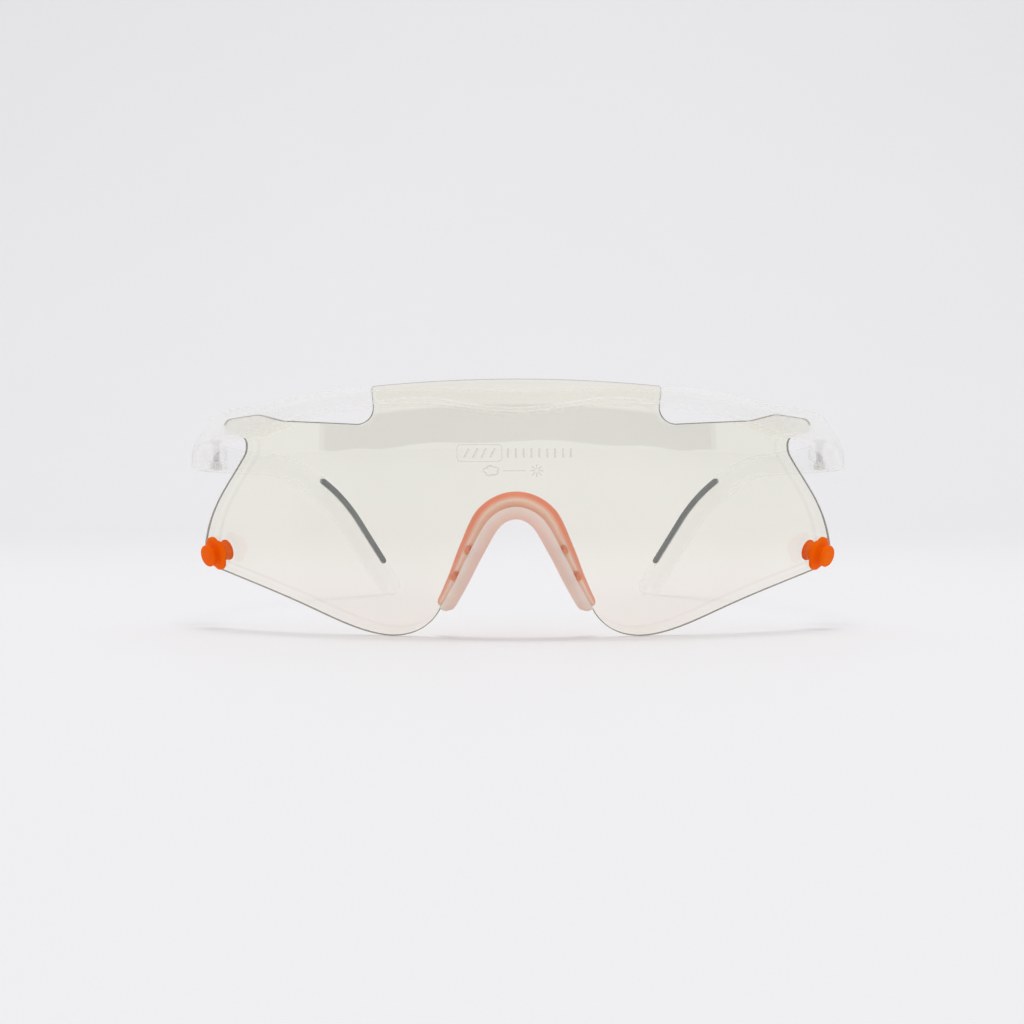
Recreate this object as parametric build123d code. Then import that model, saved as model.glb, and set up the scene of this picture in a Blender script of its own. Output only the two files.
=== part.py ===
from build123d import *
import os
from math import acos, cos, degrees, radians, sin, sqrt

# Wraparound sport sunglasses: one spherical shield lens hung from a brow bar,
# two folding temples with rubber grips, a silicone nose pad and two lens pins.
#
# Frame: +Z up, the lens faces -Y, the temples run back along +Y, the floor is Z = 0.
# Left is the wearer's left, which is +X.  Millimetres.
# The model is drawn with the foremost point of the lens at Y = 0, so that Y is the
# depth behind it, and is then moved back so that the origin is below its middle.

# ---- Lens: a shell of one sphere ----
LENS_RADIUS = 88.0
LENS_THICKNESS = 2.0
SPHERE_HEIGHT = 38.0
SPHERE_CENTRE = (0, LENS_RADIUS, SPHERE_HEIGHT)
TAB_HALF_WIDTH = 27.3
TAB_TOP = 48.5
ARCH_TOP = 24.6
FIT_GAP = 0.04
PRISM_REACH = 0.8 * LENS_RADIUS
OVER_ALL = 60.0

# ---- Brow bar: a slab that follows the lens ----
BAR_FRONT_RADIUS = LENS_RADIUS + 1.3
BAR_THICKNESS = 5.5
BAR_END_X = 54.0
BAR_TOP = ((0, 47.1), (27.0, 47.5), (41.4, 46.2), (BAR_END_X, 44.1))
BAR_LOW = ((0, 42.3), (14.0, 43.8), (27.0, 43.9), (42.0, 42.0), (BAR_END_X, 38.7))
TAB_WINDOW_HALF_WIDTH = TAB_HALF_WIDTH + 0.4
TAB_LIP = ((0, 43.4), (6.0, 43.7), (16.0, 45.3), (TAB_WINDOW_HALF_WIDTH, 44.7))
ABOVE_BAR = 50.0

# ---- End pieces, seen from above: an arc that turns from the bar to straight back ----
TURN_START_X = 52.0
OVERALL_WIDTH = 141.0
WIDEST_X = OVERALL_WIDTH / 2
TURN_START_SIN = TURN_START_X / BAR_FRONT_RADIUS
TURN_START_COS = sqrt(1 - TURN_START_SIN**2)
TURN_RADIUS = (WIDEST_X - TURN_START_X) / (1 - TURN_START_SIN)
TURN_CENTRE_X = WIDEST_X - TURN_RADIUS
TURN_START_DEPTH = LENS_RADIUS - BAR_FRONT_RADIUS * TURN_START_COS
WIDEST_DEPTH = TURN_START_DEPTH + TURN_RADIUS * TURN_START_COS

# ---- Hinges ----
HINGE_X = 64.0
HINGE_DEPTH = 41.0
KNUCKLE_RADIUS = 2.4
KNUCKLE_GAP = 0.3
LEAF_GAP = 0.06
HINGE_TOP = 39.3
HINGE_BOTTOM = 32.8
LEAF_THICKNESS = 1.7
SCREW_DIAMETER = 1.4
SCREW_HEAD_DIAMETER = 2.6
SCREW_HEAD_HEIGHT = 0.7
RUNNING_CLEARANCE = 0.05
INSERT_DIAMETER = 2.4
INSERT_HEIGHT = 1.4
SPLIT_DEPTH = HINGE_DEPTH + 2.3
SPLIT_GAP = 0.4
LEAF_ROOT_OFFSET = 0.9
LEAF_ROOT_WIDTH = 3.0
LEAF_ROOT_DEPTH = 4.4
LEAF_WEB_OFFSET = 1.9
LEAF_WEB_WIDTH = 3.8
LEAF_WEB_DEPTH = 4.2
KNUCKLE_ROOT_OFFSET = 0.6
KNUCKLE_ROOT_WIDTH = 3.6
KNUCKLE_ROOT_DEPTH = 4.0
KNUCKLE_HEEL_OFFSET = 1.2
KNUCKLE_HEEL_WIDTH = 4.8
KNUCKLE_HEEL_DEPTH = 3.0
SCREW_SLOT_WIDTH = 0.4
SCREW_SLOT_DEPTH = 0.55
CUT_MARGIN = 1.0

# ---- End pieces, seen from the side as (depth, height) and from the front ----
END_PIECE_ROOT = (49.0, 20.0)
END_PIECE_TOP = ((12, 44.9), (22, 43.9), (28, 42.6), (34, 40.6), (SPLIT_DEPTH, HINGE_TOP))
END_PIECE_LOW = ((12, 39.1), (25, 38.2), (31, 36.6), (36, 34.3), (SPLIT_DEPTH, HINGE_BOTTOM))
SHOULDER = ((61.0, 44.2), (62.4, 42.2), (65.4, 39.6), (68.9, 36.8), (70.1, 34.6))
SHOULDER_FADE = (0.28, 1, 0.14)
SHOULDER_FADE_LENGTH = 20.0

# ---- Temples ----
TEMPLE_THICKNESS = 3.5
TEMPLE_BOW_RADIUS = 163.0
TEMPLE_BOW_ANGLE = 25.0
TEMPLE_HEIGHT = 4.8
TEMPLE_MIDLINE = 35.6
HOOK_START = 95.8
HOOK_RADIUS = 57.0
HOOK_ANGLE = 43.0
HOOK_SLOPE = radians(HOOK_ANGLE)
HOOK_CORNER = HOOK_START + HOOK_RADIUS * sin(HOOK_SLOPE) / (1 + cos(HOOK_SLOPE))
TIP_DROP = TEMPLE_MIDLINE - TEMPLE_HEIGHT / 2
TIP_CENTRE_DEPTH = HOOK_CORNER + TIP_DROP * cos(HOOK_SLOPE) / sin(HOOK_SLOPE)
TIP_DEPTH = TIP_CENTRE_DEPTH + TEMPLE_HEIGHT / 2

# ---- Rubber grips, let into the inner faces of the ear hooks ----
GRIP_WIDTH = 1.4
GRIP_PROUD = 0.4
GRIP_SUNK = 1.1
GRIP_RISE = 1.3
GRIP_START_DEPTH = 118.3
GRIP_END_DEPTH = 148.2

# ---- Nose pad ----
PAD_BEAD = 0.45
PAD_WALL = 1.9
PAD_FRONT_SLOPE = 0.34
PAD_BACK_SLOPE = 0.55
PAD_BACK_DEPTH = 5.6
LUG_DIAMETER = 1.6
LUG_LENGTH = 5.0
LUG_PLACES = ((9.1, 16.6), (11.7, 11.6))
PAD_FRONT_DEPTH = -0.6
PAD_EDGE = ((0, ARCH_TOP), (4.6, 22.6), (8.4, 16.5), (11.3, 10.9), (14.4, 5.4))
PAD_RIM = ((0, 27.7), (5.5, 25.5), (8.8, 21.0), (12.2, 15.0), (15.2, 6.4))
PAD_OPENING = ((0, 22.3), (3.6, 19.9), (6.5, 15.3), (9.4, 9.2), (12.3, 5.4))

# ---- Lens pins ----
PIN_X = 61.0
PIN_Z = 15.6
PIN_STEM_DIAMETER = 4.0
PIN_WEB_DIAMETER = 4.2
PIN_LOBE_OFFSET = 1.3
PIN_LOBE_DIAMETER = 4.4
PIN_LOBE_TURN = -20
PIN_FLANGE = 0.9
PIN_NECK = 0.95
PIN_NECK_DIAMETER = 3.4
PIN_HEAD_DIAMETER = 4.6
PIN_HEAD = 1.0
PIN_HEAD_ROUNDING = 0.35
PIN_FOOT_DIAMETER = 4.3
PIN_FOOT = 0.35

DEPTH_MIDDLE = 77.6
PLACE = Pos(0, -DEPTH_MIDDLE, 0)


def mirror_outline(half):
    """A closed front-view outline from its right half, which starts and ends on X = 0."""
    other = mirror(half, about=Plane.YZ)
    edges = list(half.edges()) + list(other.edges())
    return make_face(edges)


def sphere_patch(outline, radius, thickness):
    """The shell below a sphere's surface that a front-view outline covers."""
    prism = extrude(outline, amount=PRISM_REACH, both=True)
    ball = Pos(*SPHERE_CENTRE) * Sphere(radius)
    patch = ball.faces()[0].intersect(prism).faces().sort_by(Axis.Y)[0]
    return thicken(patch, amount=-thickness)


def on_sphere(x, z, radius=LENS_RADIUS):
    """A plane on the sphere at a front-view place, with its Z axis along the normal."""
    rise = z - SPHERE_HEIGHT
    depth = LENS_RADIUS - sqrt(LENS_RADIUS**2 - x**2 - rise**2)
    outward = Vector(x, depth, z) - Vector(*SPHERE_CENTRE)
    unit = outward.normalized()
    return Plane(Vector(*SPHERE_CENTRE) + unit * radius, x_dir=(1, 0, 0), z_dir=unit)


def in_front_view(*points):
    return [Vector(x, 0, z) for x, z in points]


# ------------------------------------------------------------------ lens
def lens_outline():
    """Right half: tab, notch, shoulder, ear, waist, side, pin corner, lobe, nose arch."""
    corners = in_front_view(
        (TAB_HALF_WIDTH, 47.5),
        (26.5, 40.2),
        (45.0, 41.5),
        (50.5, 43.0),
        (58.9, 42.3),
        (58.4, 39.6),
        (53.3, 38.8),
        (53.45, 35.6),
        (54.65, 33.9),
    )
    tab_top = Spline(
        in_front_view((0, TAB_TOP), (TAB_HALF_WIDTH - 1.0, 47.57)),
        tangents=[(1, 0, 0), (1, 0, -0.07)],
    )
    edge = FilletPolyline([tab_top @ 1] + corners, radius=[0.7, 3.0, 4, 5, 1.6, 1.3, 2.1, 3.2])
    side = Spline(
        in_front_view((54.65, 33.9), (60.5, 26.1), (64.2, 18.2)),
        tangents=[(edge % 1), (0.28, 0, -1)],
    )
    corner = Spline(
        in_front_view((64.2, 18.2), (63.9, 13.6), (60.4, 11.9)),
        tangents=[(0.28, 0, -1), (-1, 0, -0.3)],
    )
    lower = Spline(
        in_front_view((60.4, 11.9), (40.4, 5.0), (29.4, 0.8), (23.6, 0), (18.2, 1.5), (14.6, 5.1)),
        tangents=[(-1, 0, -0.3), (-0.5, 0, 0.87)],
    )
    arch = Spline(
        in_front_view((14.6, 5.1), (11.3, 10.9), (8.4, 16.5), (4.6, 22.6), (0, ARCH_TOP)),
        tangents=[(-0.5, 0, 0.87), (-1, 0, 0)],
    )
    half = Curve() + [tab_top, edge, side, corner, lower, arch]
    return mirror_outline(half)


def lens_blank(gap=0):
    outline = lens_outline()
    if gap:
        outline = offset(outline, amount=gap)
    return sphere_patch(outline, LENS_RADIUS + gap, LENS_THICKNESS + 2 * gap)


def each_side(place):
    return [(place[0], place[1]), (-place[0], place[1])]


def lugs(radius):
    """The nose pad's lugs, which fill round notches in the edge of the lens's arch."""
    places = [side for place in LUG_PLACES for side in each_side(place)]
    return [on_sphere(x, z) * Cylinder(radius, LUG_LENGTH) for x, z in places]


def make_lens():
    lens = lens_blank()
    for x, z in each_side((PIN_X, PIN_Z)):
        lens -= on_sphere(x, z) * Cylinder(PIN_STEM_DIAMETER / 2, 4 * LENS_THICKNESS)
    for notch in lugs(LUG_DIAMETER / 2):
        lens -= notch
    return lens


# ------------------------------------------------------------------ brow frame
def bar_outline():
    top = Spline(in_front_view(*BAR_TOP), tangents=[(1, 0, 0), (1, 0, -0.12)])
    low = Spline(in_front_view(*BAR_LOW), tangents=[(1, 0, 0), (1, 0, -0.2)])
    end = Line(top @ 1, low @ 1)
    return mirror_outline(Curve() + [top, low, end])


def tab_window():
    """The opening in the bar's front wall, above its low lip, that shows the tab."""
    low = Spline(in_front_view(*TAB_LIP), tangents=[(1, 0, 0), (1, 0, -0.1)])
    side = Polyline(low @ 1, (TAB_WINDOW_HALF_WIDTH, 0, ABOVE_BAR), (0, 0, ABOVE_BAR))
    outline = mirror_outline(Curve() + [low, side])
    outside = BAR_FRONT_RADIUS + CUT_MARGIN
    return sphere_patch(outline, outside, outside - LENS_RADIUS)


def turn_arc(radius, start_depth, end_depth):
    """Part of the end piece's turn, seen from above, between two depths."""
    centre = (TURN_CENTRE_X, WIDEST_DEPTH)
    start = -degrees(acos(sqrt(1 - ((WIDEST_DEPTH - start_depth) / radius) ** 2)))
    end = -degrees(acos(sqrt(1 - ((WIDEST_DEPTH - end_depth) / radius) ** 2)))
    return Pos(*centre) * CenterArc((0, 0), radius, start, end - start)


def end_piece_band():
    """The left end piece seen from above, from inside the bar to the temple."""
    outer = turn_arc(TURN_RADIUS, TURN_START_DEPTH, SPLIT_DEPTH)
    inner_end = (HINGE_X + LEAF_ROOT_WIDTH / 2, HINGE_DEPTH - KNUCKLE_RADIUS - KNUCKLE_GAP)
    inner = TangentArc([END_PIECE_ROOT, inner_end], tangent=(TURN_START_COS, TURN_START_SIN))
    wall_inner = (HINGE_X + KNUCKLE_RADIUS + KNUCKLE_GAP, SPLIT_DEPTH)
    wall_corner = (wall_inner[0], inner_end[1])
    back = Polyline(inner @ 1, wall_corner, wall_inner, outer @ 1)
    front = Line(inner @ 0, outer @ 0)
    return make_face([outer, inner, back, front])


def end_piece_profile():
    """The left end piece seen from the side: it drops from the bar to the hinge."""
    top = Spline(*END_PIECE_TOP)
    low = Spline(*END_PIECE_LOW)
    return make_face([top, low, Line(top @ 0, low @ 0), Line(top @ 1, low @ 1)])


def shoulder_face(depth):
    """What lies outside the top outer corner, which leans out from the bar to the hinge."""
    edge = Spline(in_front_view(*SHOULDER), tangents=[(0.5, 0, -0.6), (0.3, 0, -1)])
    far_x = WIDEST_X + 2 * CUT_MARGIN
    beyond = in_front_view((far_x, SHOULDER[-1][1]), (far_x, ABOVE_BAR), (SHOULDER[0][0], ABOVE_BAR))
    rest = Polyline(edge @ 1, *beyond, edge @ 0)
    return Pos(0, depth, 0) * make_face([edge, rest])


def end_piece_shoulder():
    return extrude(shoulder_face(0), amount=SPLIT_DEPTH + SPLIT_GAP / 2, dir=(0, 1, 0))


def temple_shoulder():
    """The same corner carried on into the temple, where it runs out."""
    return extrude(shoulder_face(SPLIT_DEPTH), amount=SHOULDER_FADE_LENGTH, dir=SHOULDER_FADE)


def across(face):
    """A solid that runs across the left half of the glasses from a side-view face."""
    return extrude(Plane.YZ * face, amount=WIDEST_X + CUT_MARGIN)


def hinge_leaf(bottom, top):
    """A flat leaf round the hinge axis, rooted in the end piece."""
    disc = Pos(HINGE_X, HINGE_DEPTH) * Circle(KNUCKLE_RADIUS)
    root_place = Pos(HINGE_X + LEAF_ROOT_OFFSET, HINGE_DEPTH - LEAF_ROOT_DEPTH / 2)
    root = root_place * Rectangle(LEAF_ROOT_WIDTH, LEAF_ROOT_DEPTH)
    web_place = Pos(HINGE_X + LEAF_WEB_OFFSET, HINGE_DEPTH)
    web = web_place * Rectangle(LEAF_WEB_WIDTH, LEAF_WEB_DEPTH)
    return Pos(0, 0, bottom) * extrude(disc + root + web, amount=top - bottom)


def hinge_hole(diameter, bottom, top):
    middle = (bottom + top) / 2
    return Pos(HINGE_X, HINGE_DEPTH, middle) * Cylinder(diameter / 2, top - bottom)


def both_sides(part):
    return part + mirror(part, about=Plane.YZ)


def make_brow_frame():
    bar = sphere_patch(bar_outline(), BAR_FRONT_RADIUS, BAR_THICKNESS)
    end_piece = extrude(end_piece_band(), amount=OVER_ALL) & across(end_piece_profile())
    end_piece -= end_piece_shoulder()
    end_piece += hinge_leaf(HINGE_TOP - LEAF_THICKNESS, HINGE_TOP)
    end_piece += hinge_leaf(HINGE_BOTTOM, HINGE_BOTTOM + LEAF_THICKNESS)
    hole_top = HINGE_TOP + CUT_MARGIN
    shaft_room = SCREW_DIAMETER + 2 * RUNNING_CLEARANCE
    end_piece -= hinge_hole(shaft_room, HINGE_TOP - LEAF_THICKNESS - CUT_MARGIN, hole_top)
    head_seat = SCREW_HEAD_DIAMETER + 2 * RUNNING_CLEARANCE
    end_piece -= hinge_hole(head_seat, HINGE_TOP - SCREW_HEAD_HEIGHT, hole_top)
    insert_top = HINGE_BOTTOM + INSERT_HEIGHT
    end_piece -= hinge_hole(INSERT_DIAMETER, HINGE_BOTTOM - CUT_MARGIN, insert_top)
    end_piece -= hinge_hole(shaft_room, insert_top, insert_top + CUT_MARGIN)
    frame = bar + both_sides(end_piece)
    frame -= lens_blank(FIT_GAP)
    return frame - tab_window()


# ------------------------------------------------------------------ hinge hardware
def make_screw():
    shaft_bottom = HINGE_BOTTOM + RUNNING_CLEARANCE
    head_bottom = HINGE_TOP - SCREW_HEAD_HEIGHT
    shaft = hinge_hole(SCREW_DIAMETER, shaft_bottom, head_bottom)
    head = hinge_hole(SCREW_HEAD_DIAMETER, head_bottom, HINGE_TOP - RUNNING_CLEARANCE)
    slot = Box(SCREW_HEAD_DIAMETER, SCREW_SLOT_WIDTH, SCREW_SLOT_DEPTH)
    slot = Pos(HINGE_X, HINGE_DEPTH, HINGE_TOP) * slot
    return shaft + head - slot


def make_insert():
    body = hinge_hole(INSERT_DIAMETER, HINGE_BOTTOM, HINGE_BOTTOM + INSERT_HEIGHT)
    return body - hinge_hole(SCREW_DIAMETER, HINGE_BOTTOM - CUT_MARGIN, HINGE_TOP)


# ------------------------------------------------------------------ temples
def temple_path(inset):
    """The left temple seen from above: a bow that ends in a straight, inset inwards."""
    start_depth = SPLIT_DEPTH + SPLIT_GAP
    turn = turn_arc(TURN_RADIUS - inset, start_depth, WIDEST_DEPTH)
    bow_centre = (WIDEST_X - TEMPLE_BOW_RADIUS, WIDEST_DEPTH)
    bow = CenterArc(bow_centre, TEMPLE_BOW_RADIUS - inset, 0, TEMPLE_BOW_ANGLE)
    left = TIP_DEPTH + CUT_MARGIN - (bow @ 1).Y
    run = left / cos(radians(TEMPLE_BOW_ANGLE))
    straight = Line(bow @ 1, (bow @ 1) + (bow % 1) * run)
    return [turn, bow, straight]


def temple_band(near, far):
    """The strip of the plan between two insets from the temple's outer face."""
    outer = temple_path(near)
    inner = temple_path(far)
    front = Line(outer[0] @ 0, inner[0] @ 0)
    back = Line(outer[-1] @ 1, inner[-1] @ 1)
    return extrude(make_face(outer + inner + [front, back]), amount=OVER_ALL)


def hook_edge(rise, start_depth, start_rise, end_depth):
    """A line along the temple seen from the side, parallel to its midline in the hook."""
    shift = rise * sin(HOOK_SLOPE) / (1 + cos(HOOK_SLOPE))
    corner = Vector(HOOK_CORNER + shift, TEMPLE_MIDLINE + rise)
    end = Vector(end_depth + rise * sin(HOOK_SLOPE), 0)
    end.Y = corner.Y - (end.X - corner.X) * sin(HOOK_SLOPE) / cos(HOOK_SLOPE)
    start = Vector(start_depth, TEMPLE_MIDLINE + start_rise)
    return FilletPolyline(start, corner, end, radius=HOOK_RADIUS + rise)


def side_face(lower, upper):
    """The face between two lines drawn in the side view."""
    ends = [Line(upper @ 0, lower @ 0), Line(upper @ 1, lower @ 1)]
    return make_face(list(upper.edges()) + list(lower.edges()) + ends)


def temple_knuckle():
    bottom = HINGE_BOTTOM + LEAF_THICKNESS + LEAF_GAP
    top = HINGE_TOP - LEAF_THICKNESS - LEAF_GAP
    disc = Pos(HINGE_X, HINGE_DEPTH) * Circle(KNUCKLE_RADIUS)
    root_place = Pos(HINGE_X + KNUCKLE_ROOT_OFFSET, HINGE_DEPTH + KNUCKLE_ROOT_DEPTH / 2)
    root = root_place * Rectangle(KNUCKLE_ROOT_WIDTH, KNUCKLE_ROOT_DEPTH)
    heel_depth = SPLIT_DEPTH + SPLIT_GAP + KNUCKLE_HEEL_DEPTH / 2
    heel_place = Pos(HINGE_X + KNUCKLE_HEEL_OFFSET, heel_depth)
    heel = heel_place * Rectangle(KNUCKLE_HEEL_WIDTH, KNUCKLE_HEEL_DEPTH)
    knuckle = Pos(0, 0, bottom) * extrude(disc + root + heel, amount=top - bottom)
    shaft_room = SCREW_DIAMETER + 2 * RUNNING_CLEARANCE
    return knuckle - hinge_hole(shaft_room, bottom - CUT_MARGIN, top + CUT_MARGIN)


def temple_body():
    """The arm itself, with a round tip that rests on the floor."""
    half = TEMPLE_HEIGHT / 2
    start = SPLIT_DEPTH + SPLIT_GAP
    upper = hook_edge(half, start, HINGE_TOP - TEMPLE_MIDLINE, TIP_CENTRE_DEPTH)
    lower = hook_edge(-half, start, HINGE_BOTTOM - TEMPLE_MIDLINE, TIP_CENTRE_DEPTH)
    side = side_face(lower, upper) + Pos(TIP_CENTRE_DEPTH, half) * Circle(half)
    return temple_band(0, TEMPLE_THICKNESS) & across(side)


def make_temple():
    leaf_room = Pos(HINGE_X, HINGE_DEPTH) * Cylinder(KNUCKLE_RADIUS + KNUCKLE_GAP, 2 * OVER_ALL)
    return temple_body() - temple_shoulder() - leaf_room + temple_knuckle() - make_grip()


def make_grip():
    """A strip along the upper half of the hook's inner face, sunk in it and a little proud."""
    band = temple_band(TEMPLE_THICKNESS - GRIP_SUNK, TEMPLE_THICKNESS + GRIP_PROUD)
    top = GRIP_RISE + GRIP_WIDTH / 2
    bottom = GRIP_RISE - GRIP_WIDTH / 2
    upper = hook_edge(top, SPLIT_DEPTH, top, GRIP_END_DEPTH)
    lower = hook_edge(bottom, SPLIT_DEPTH, bottom, GRIP_END_DEPTH)
    strip = band & across(side_face(lower, upper))
    return split(strip, Plane.XZ.offset(-GRIP_START_DEPTH), keep=Keep.BOTTOM)


# ------------------------------------------------------------------ nose pad
def arch_points(points, slope, depth):
    """Front-view arch points laid on a plane that leans back downwards."""
    return [Vector(x, depth + slope * (ARCH_TOP - z), z) for x, z in points]


def pad_section(outer, inner, slope, depth):
    """A closed arch between two half outlines, each listed from the top down."""
    sections = []
    for half in (outer, inner):
        left = arch_points(half, slope, depth)
        right = [Vector(-p.X, p.Y, p.Z) for p in left[1:]]
        sections.append(Spline(list(reversed(right)) + left))
    outside, inside = sections
    foot_left = Line(outside @ 1, inside @ 1)
    foot_right = Line(inside @ 0, outside @ 0)
    return Wire([outside.edge(), foot_left.edge(), inside.edge(), foot_right.edge()])


def make_nose_pad():
    bead = [(x + PAD_BEAD * (x > 0), z + PAD_BEAD * (x == 0)) for x, z in PAD_EDGE]
    rim_inner = [(x - PAD_WALL * (x > 0), z - PAD_WALL * (x == 0)) for x, z in PAD_RIM]
    front = pad_section(bead, PAD_OPENING, PAD_FRONT_SLOPE, PAD_FRONT_DEPTH)
    back = pad_section(PAD_RIM, rim_inner, PAD_BACK_SLOPE, PAD_BACK_DEPTH)
    pad = Solid.make_loft([front, back], ruled=True)
    ball = Pos(*SPHERE_CENTRE) * Sphere(LENS_RADIUS + PAD_BEAD)
    pad = pad - lens_blank(FIT_GAP)
    for lug in lugs(LUG_DIAMETER / 2 - FIT_GAP):
        pad += lug
    return pad & ball


# ------------------------------------------------------------------ lens pins
def make_pin():
    """A rubber rivet: four-lobed flange and round head in front, round foot behind."""
    seat = on_sphere(PIN_X, PIN_Z, LENS_RADIUS + FIT_GAP)
    lobes = Circle(PIN_WEB_DIAMETER / 2)
    for quarter in range(4):
        turn = radians(PIN_LOBE_TURN + 90 * quarter)
        spot = (PIN_LOBE_OFFSET * cos(turn), PIN_LOBE_OFFSET * sin(turn))
        lobes += Pos(*spot) * Circle(PIN_LOBE_DIAMETER / 2)
    flange = extrude(lobes, amount=PIN_FLANGE)
    neck = Pos(0, 0, PIN_FLANGE) * extrude(Circle(PIN_NECK_DIAMETER / 2), amount=PIN_NECK)
    head_disc = extrude(Circle(PIN_HEAD_DIAMETER / 2), amount=PIN_HEAD)
    head = Pos(0, 0, PIN_FLANGE + PIN_NECK) * fillet(head_disc.edges(), PIN_HEAD_ROUNDING)
    stem_radius = PIN_STEM_DIAMETER / 2 - FIT_GAP
    back = -(LENS_THICKNESS + 2 * FIT_GAP)
    stem = Pos(0, 0, back) * extrude(Circle(stem_radius), amount=-back)
    foot = Pos(0, 0, back - PIN_FOOT) * extrude(Circle(PIN_FOOT_DIAMETER / 2), amount=PIN_FOOT)
    return seat * (flange + neck + head + stem + foot)


def write(name, shape):
    export_step(PLACE * shape, f"parts/{name}.step")


os.makedirs("parts", exist_ok=True)
write("lens", make_lens())
write("brow_frame", make_brow_frame())
write("nose_pad", make_nose_pad())
SIDED = {
    "temple": make_temple(),
    "temple_grip": make_grip(),
    "hinge_screw": make_screw(),
    "hinge_insert": make_insert(),
    "lens_pin": make_pin(),
}
for name, shape in SIDED.items():
    write(f"{name}_left", shape)
    write(f"{name}_right", mirror(shape, about=Plane.YZ))
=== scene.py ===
import math

import bpy
from mathutils import Matrix, Vector, geometry


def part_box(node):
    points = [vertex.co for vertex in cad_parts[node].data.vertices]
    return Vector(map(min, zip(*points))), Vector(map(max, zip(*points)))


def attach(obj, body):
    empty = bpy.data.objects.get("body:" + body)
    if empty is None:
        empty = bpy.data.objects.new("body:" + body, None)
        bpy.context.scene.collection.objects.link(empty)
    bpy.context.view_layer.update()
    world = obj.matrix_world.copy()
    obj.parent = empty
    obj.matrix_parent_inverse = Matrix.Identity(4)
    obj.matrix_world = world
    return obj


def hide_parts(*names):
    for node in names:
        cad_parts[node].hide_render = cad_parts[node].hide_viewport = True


# The looks of a pair of wraparound sport sunglasses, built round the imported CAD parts.
# Lengths are in millimetres until MM turns them into metres; "depth" is the distance
# behind the foremost point of the lens, and "left" is the wearer's left, which is +X.

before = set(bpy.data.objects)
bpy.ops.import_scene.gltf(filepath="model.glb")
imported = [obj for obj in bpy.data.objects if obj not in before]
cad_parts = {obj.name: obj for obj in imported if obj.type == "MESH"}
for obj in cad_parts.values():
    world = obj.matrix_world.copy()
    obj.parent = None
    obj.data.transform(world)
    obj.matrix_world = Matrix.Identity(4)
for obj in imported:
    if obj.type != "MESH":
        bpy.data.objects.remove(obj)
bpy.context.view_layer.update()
MM = 0.001
BODIES = {"left": "left_temple", "right": "right_temple"}
SIDES = {"left": 1, "right": -1}

LENS_RADIUS = 88.0
LENS_THICKNESS = 2.0
APEX_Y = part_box("lens")[0].y / MM
SPHERE_CENTRE = Vector((0, APEX_Y + LENS_RADIUS, 38.0))


def at(x, depth, z):
    """A point in the row frame, in millimetres, from its depth behind the lens's apex."""
    return Vector((x, depth + APEX_Y, z))


def on_lens(x, z, radius=LENS_RADIUS):
    """The point of a sphere about the lens's centre seen at a front-view place."""
    rise = z - SPHERE_CENTRE.z
    y = -math.sqrt(LENS_RADIUS**2 - x * x - rise * rise)
    return SPHERE_CENTRE + Vector((x, y, rise)).normalized() * radius


def lens_plane(x, z):
    """A matrix at a place on the lens's front whose Z axis is the outward normal."""
    point = on_lens(x, z)
    normal = (point - SPHERE_CENTRE).normalized()
    across = Vector((0, 0, 1)).cross(normal).normalized()
    up = normal.cross(across)
    rotation = Matrix((across, up, normal)).transposed().to_4x4()
    return Matrix.Translation(point) @ rotation


def clamp(value):
    return min(1.0, max(0.0, value))


def round_end(share, least=0.0):
    """The size of a round end, up to 1, at a share of the way in from its tip."""
    return max(least, math.sqrt(1 - (1 - clamp(share)) ** 2))


# ------------------------------------------------------------------ mesh helpers
def new_object(name, verts, faces, material, body):
    """A smooth mesh object, from points in millimetres, that rides on a body."""
    mesh = bpy.data.meshes.new(name)
    mesh.from_pydata([Vector(v) * MM for v in verts], [], faces)
    mesh.validate()
    mesh.polygons.foreach_set("use_smooth", [True] * len(mesh.polygons))
    mesh.update()
    piece = bpy.data.objects.new(name, mesh)
    bpy.context.collection.objects.link(piece)
    piece.data.materials.append(material)
    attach(piece, body)
    return piece


def add_modifier(piece, kind, **settings):
    """A modifier on a piece, named after its kind."""
    modifier = piece.modifiers.new(kind.title(), kind)
    for key, value in settings.items():
        setattr(modifier, key, value)


def loft(rings, closed_ends=True):
    """Points and faces of a tube through rings that have as many points each."""
    count = len(rings[0])
    verts = [point for ring in rings for point in ring]
    faces = []
    for row in range(len(rings) - 1):
        for k in range(count):
            a = row * count + k
            b = row * count + (k + 1) % count
            faces.append((a, b, b + count, a + count))
    if closed_ends:
        faces.append(tuple(reversed(range(count))))
        last = (len(rings) - 1) * count
        faces.append(tuple(range(last, last + count)))
    return verts, faces


def rounded_section(width, height, count, power):
    """The points of a superellipse, as (across, up) pairs; a higher power is squarer."""
    points = []
    for k in range(count):
        angle = 2 * math.pi * k / count
        c, s = math.cos(angle), math.sin(angle)
        points.append((
            width / 2 * math.copysign(abs(c) ** (2 / power), c),
            height / 2 * math.copysign(abs(s) ** (2 / power), s),
        ))
    return points


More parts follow.
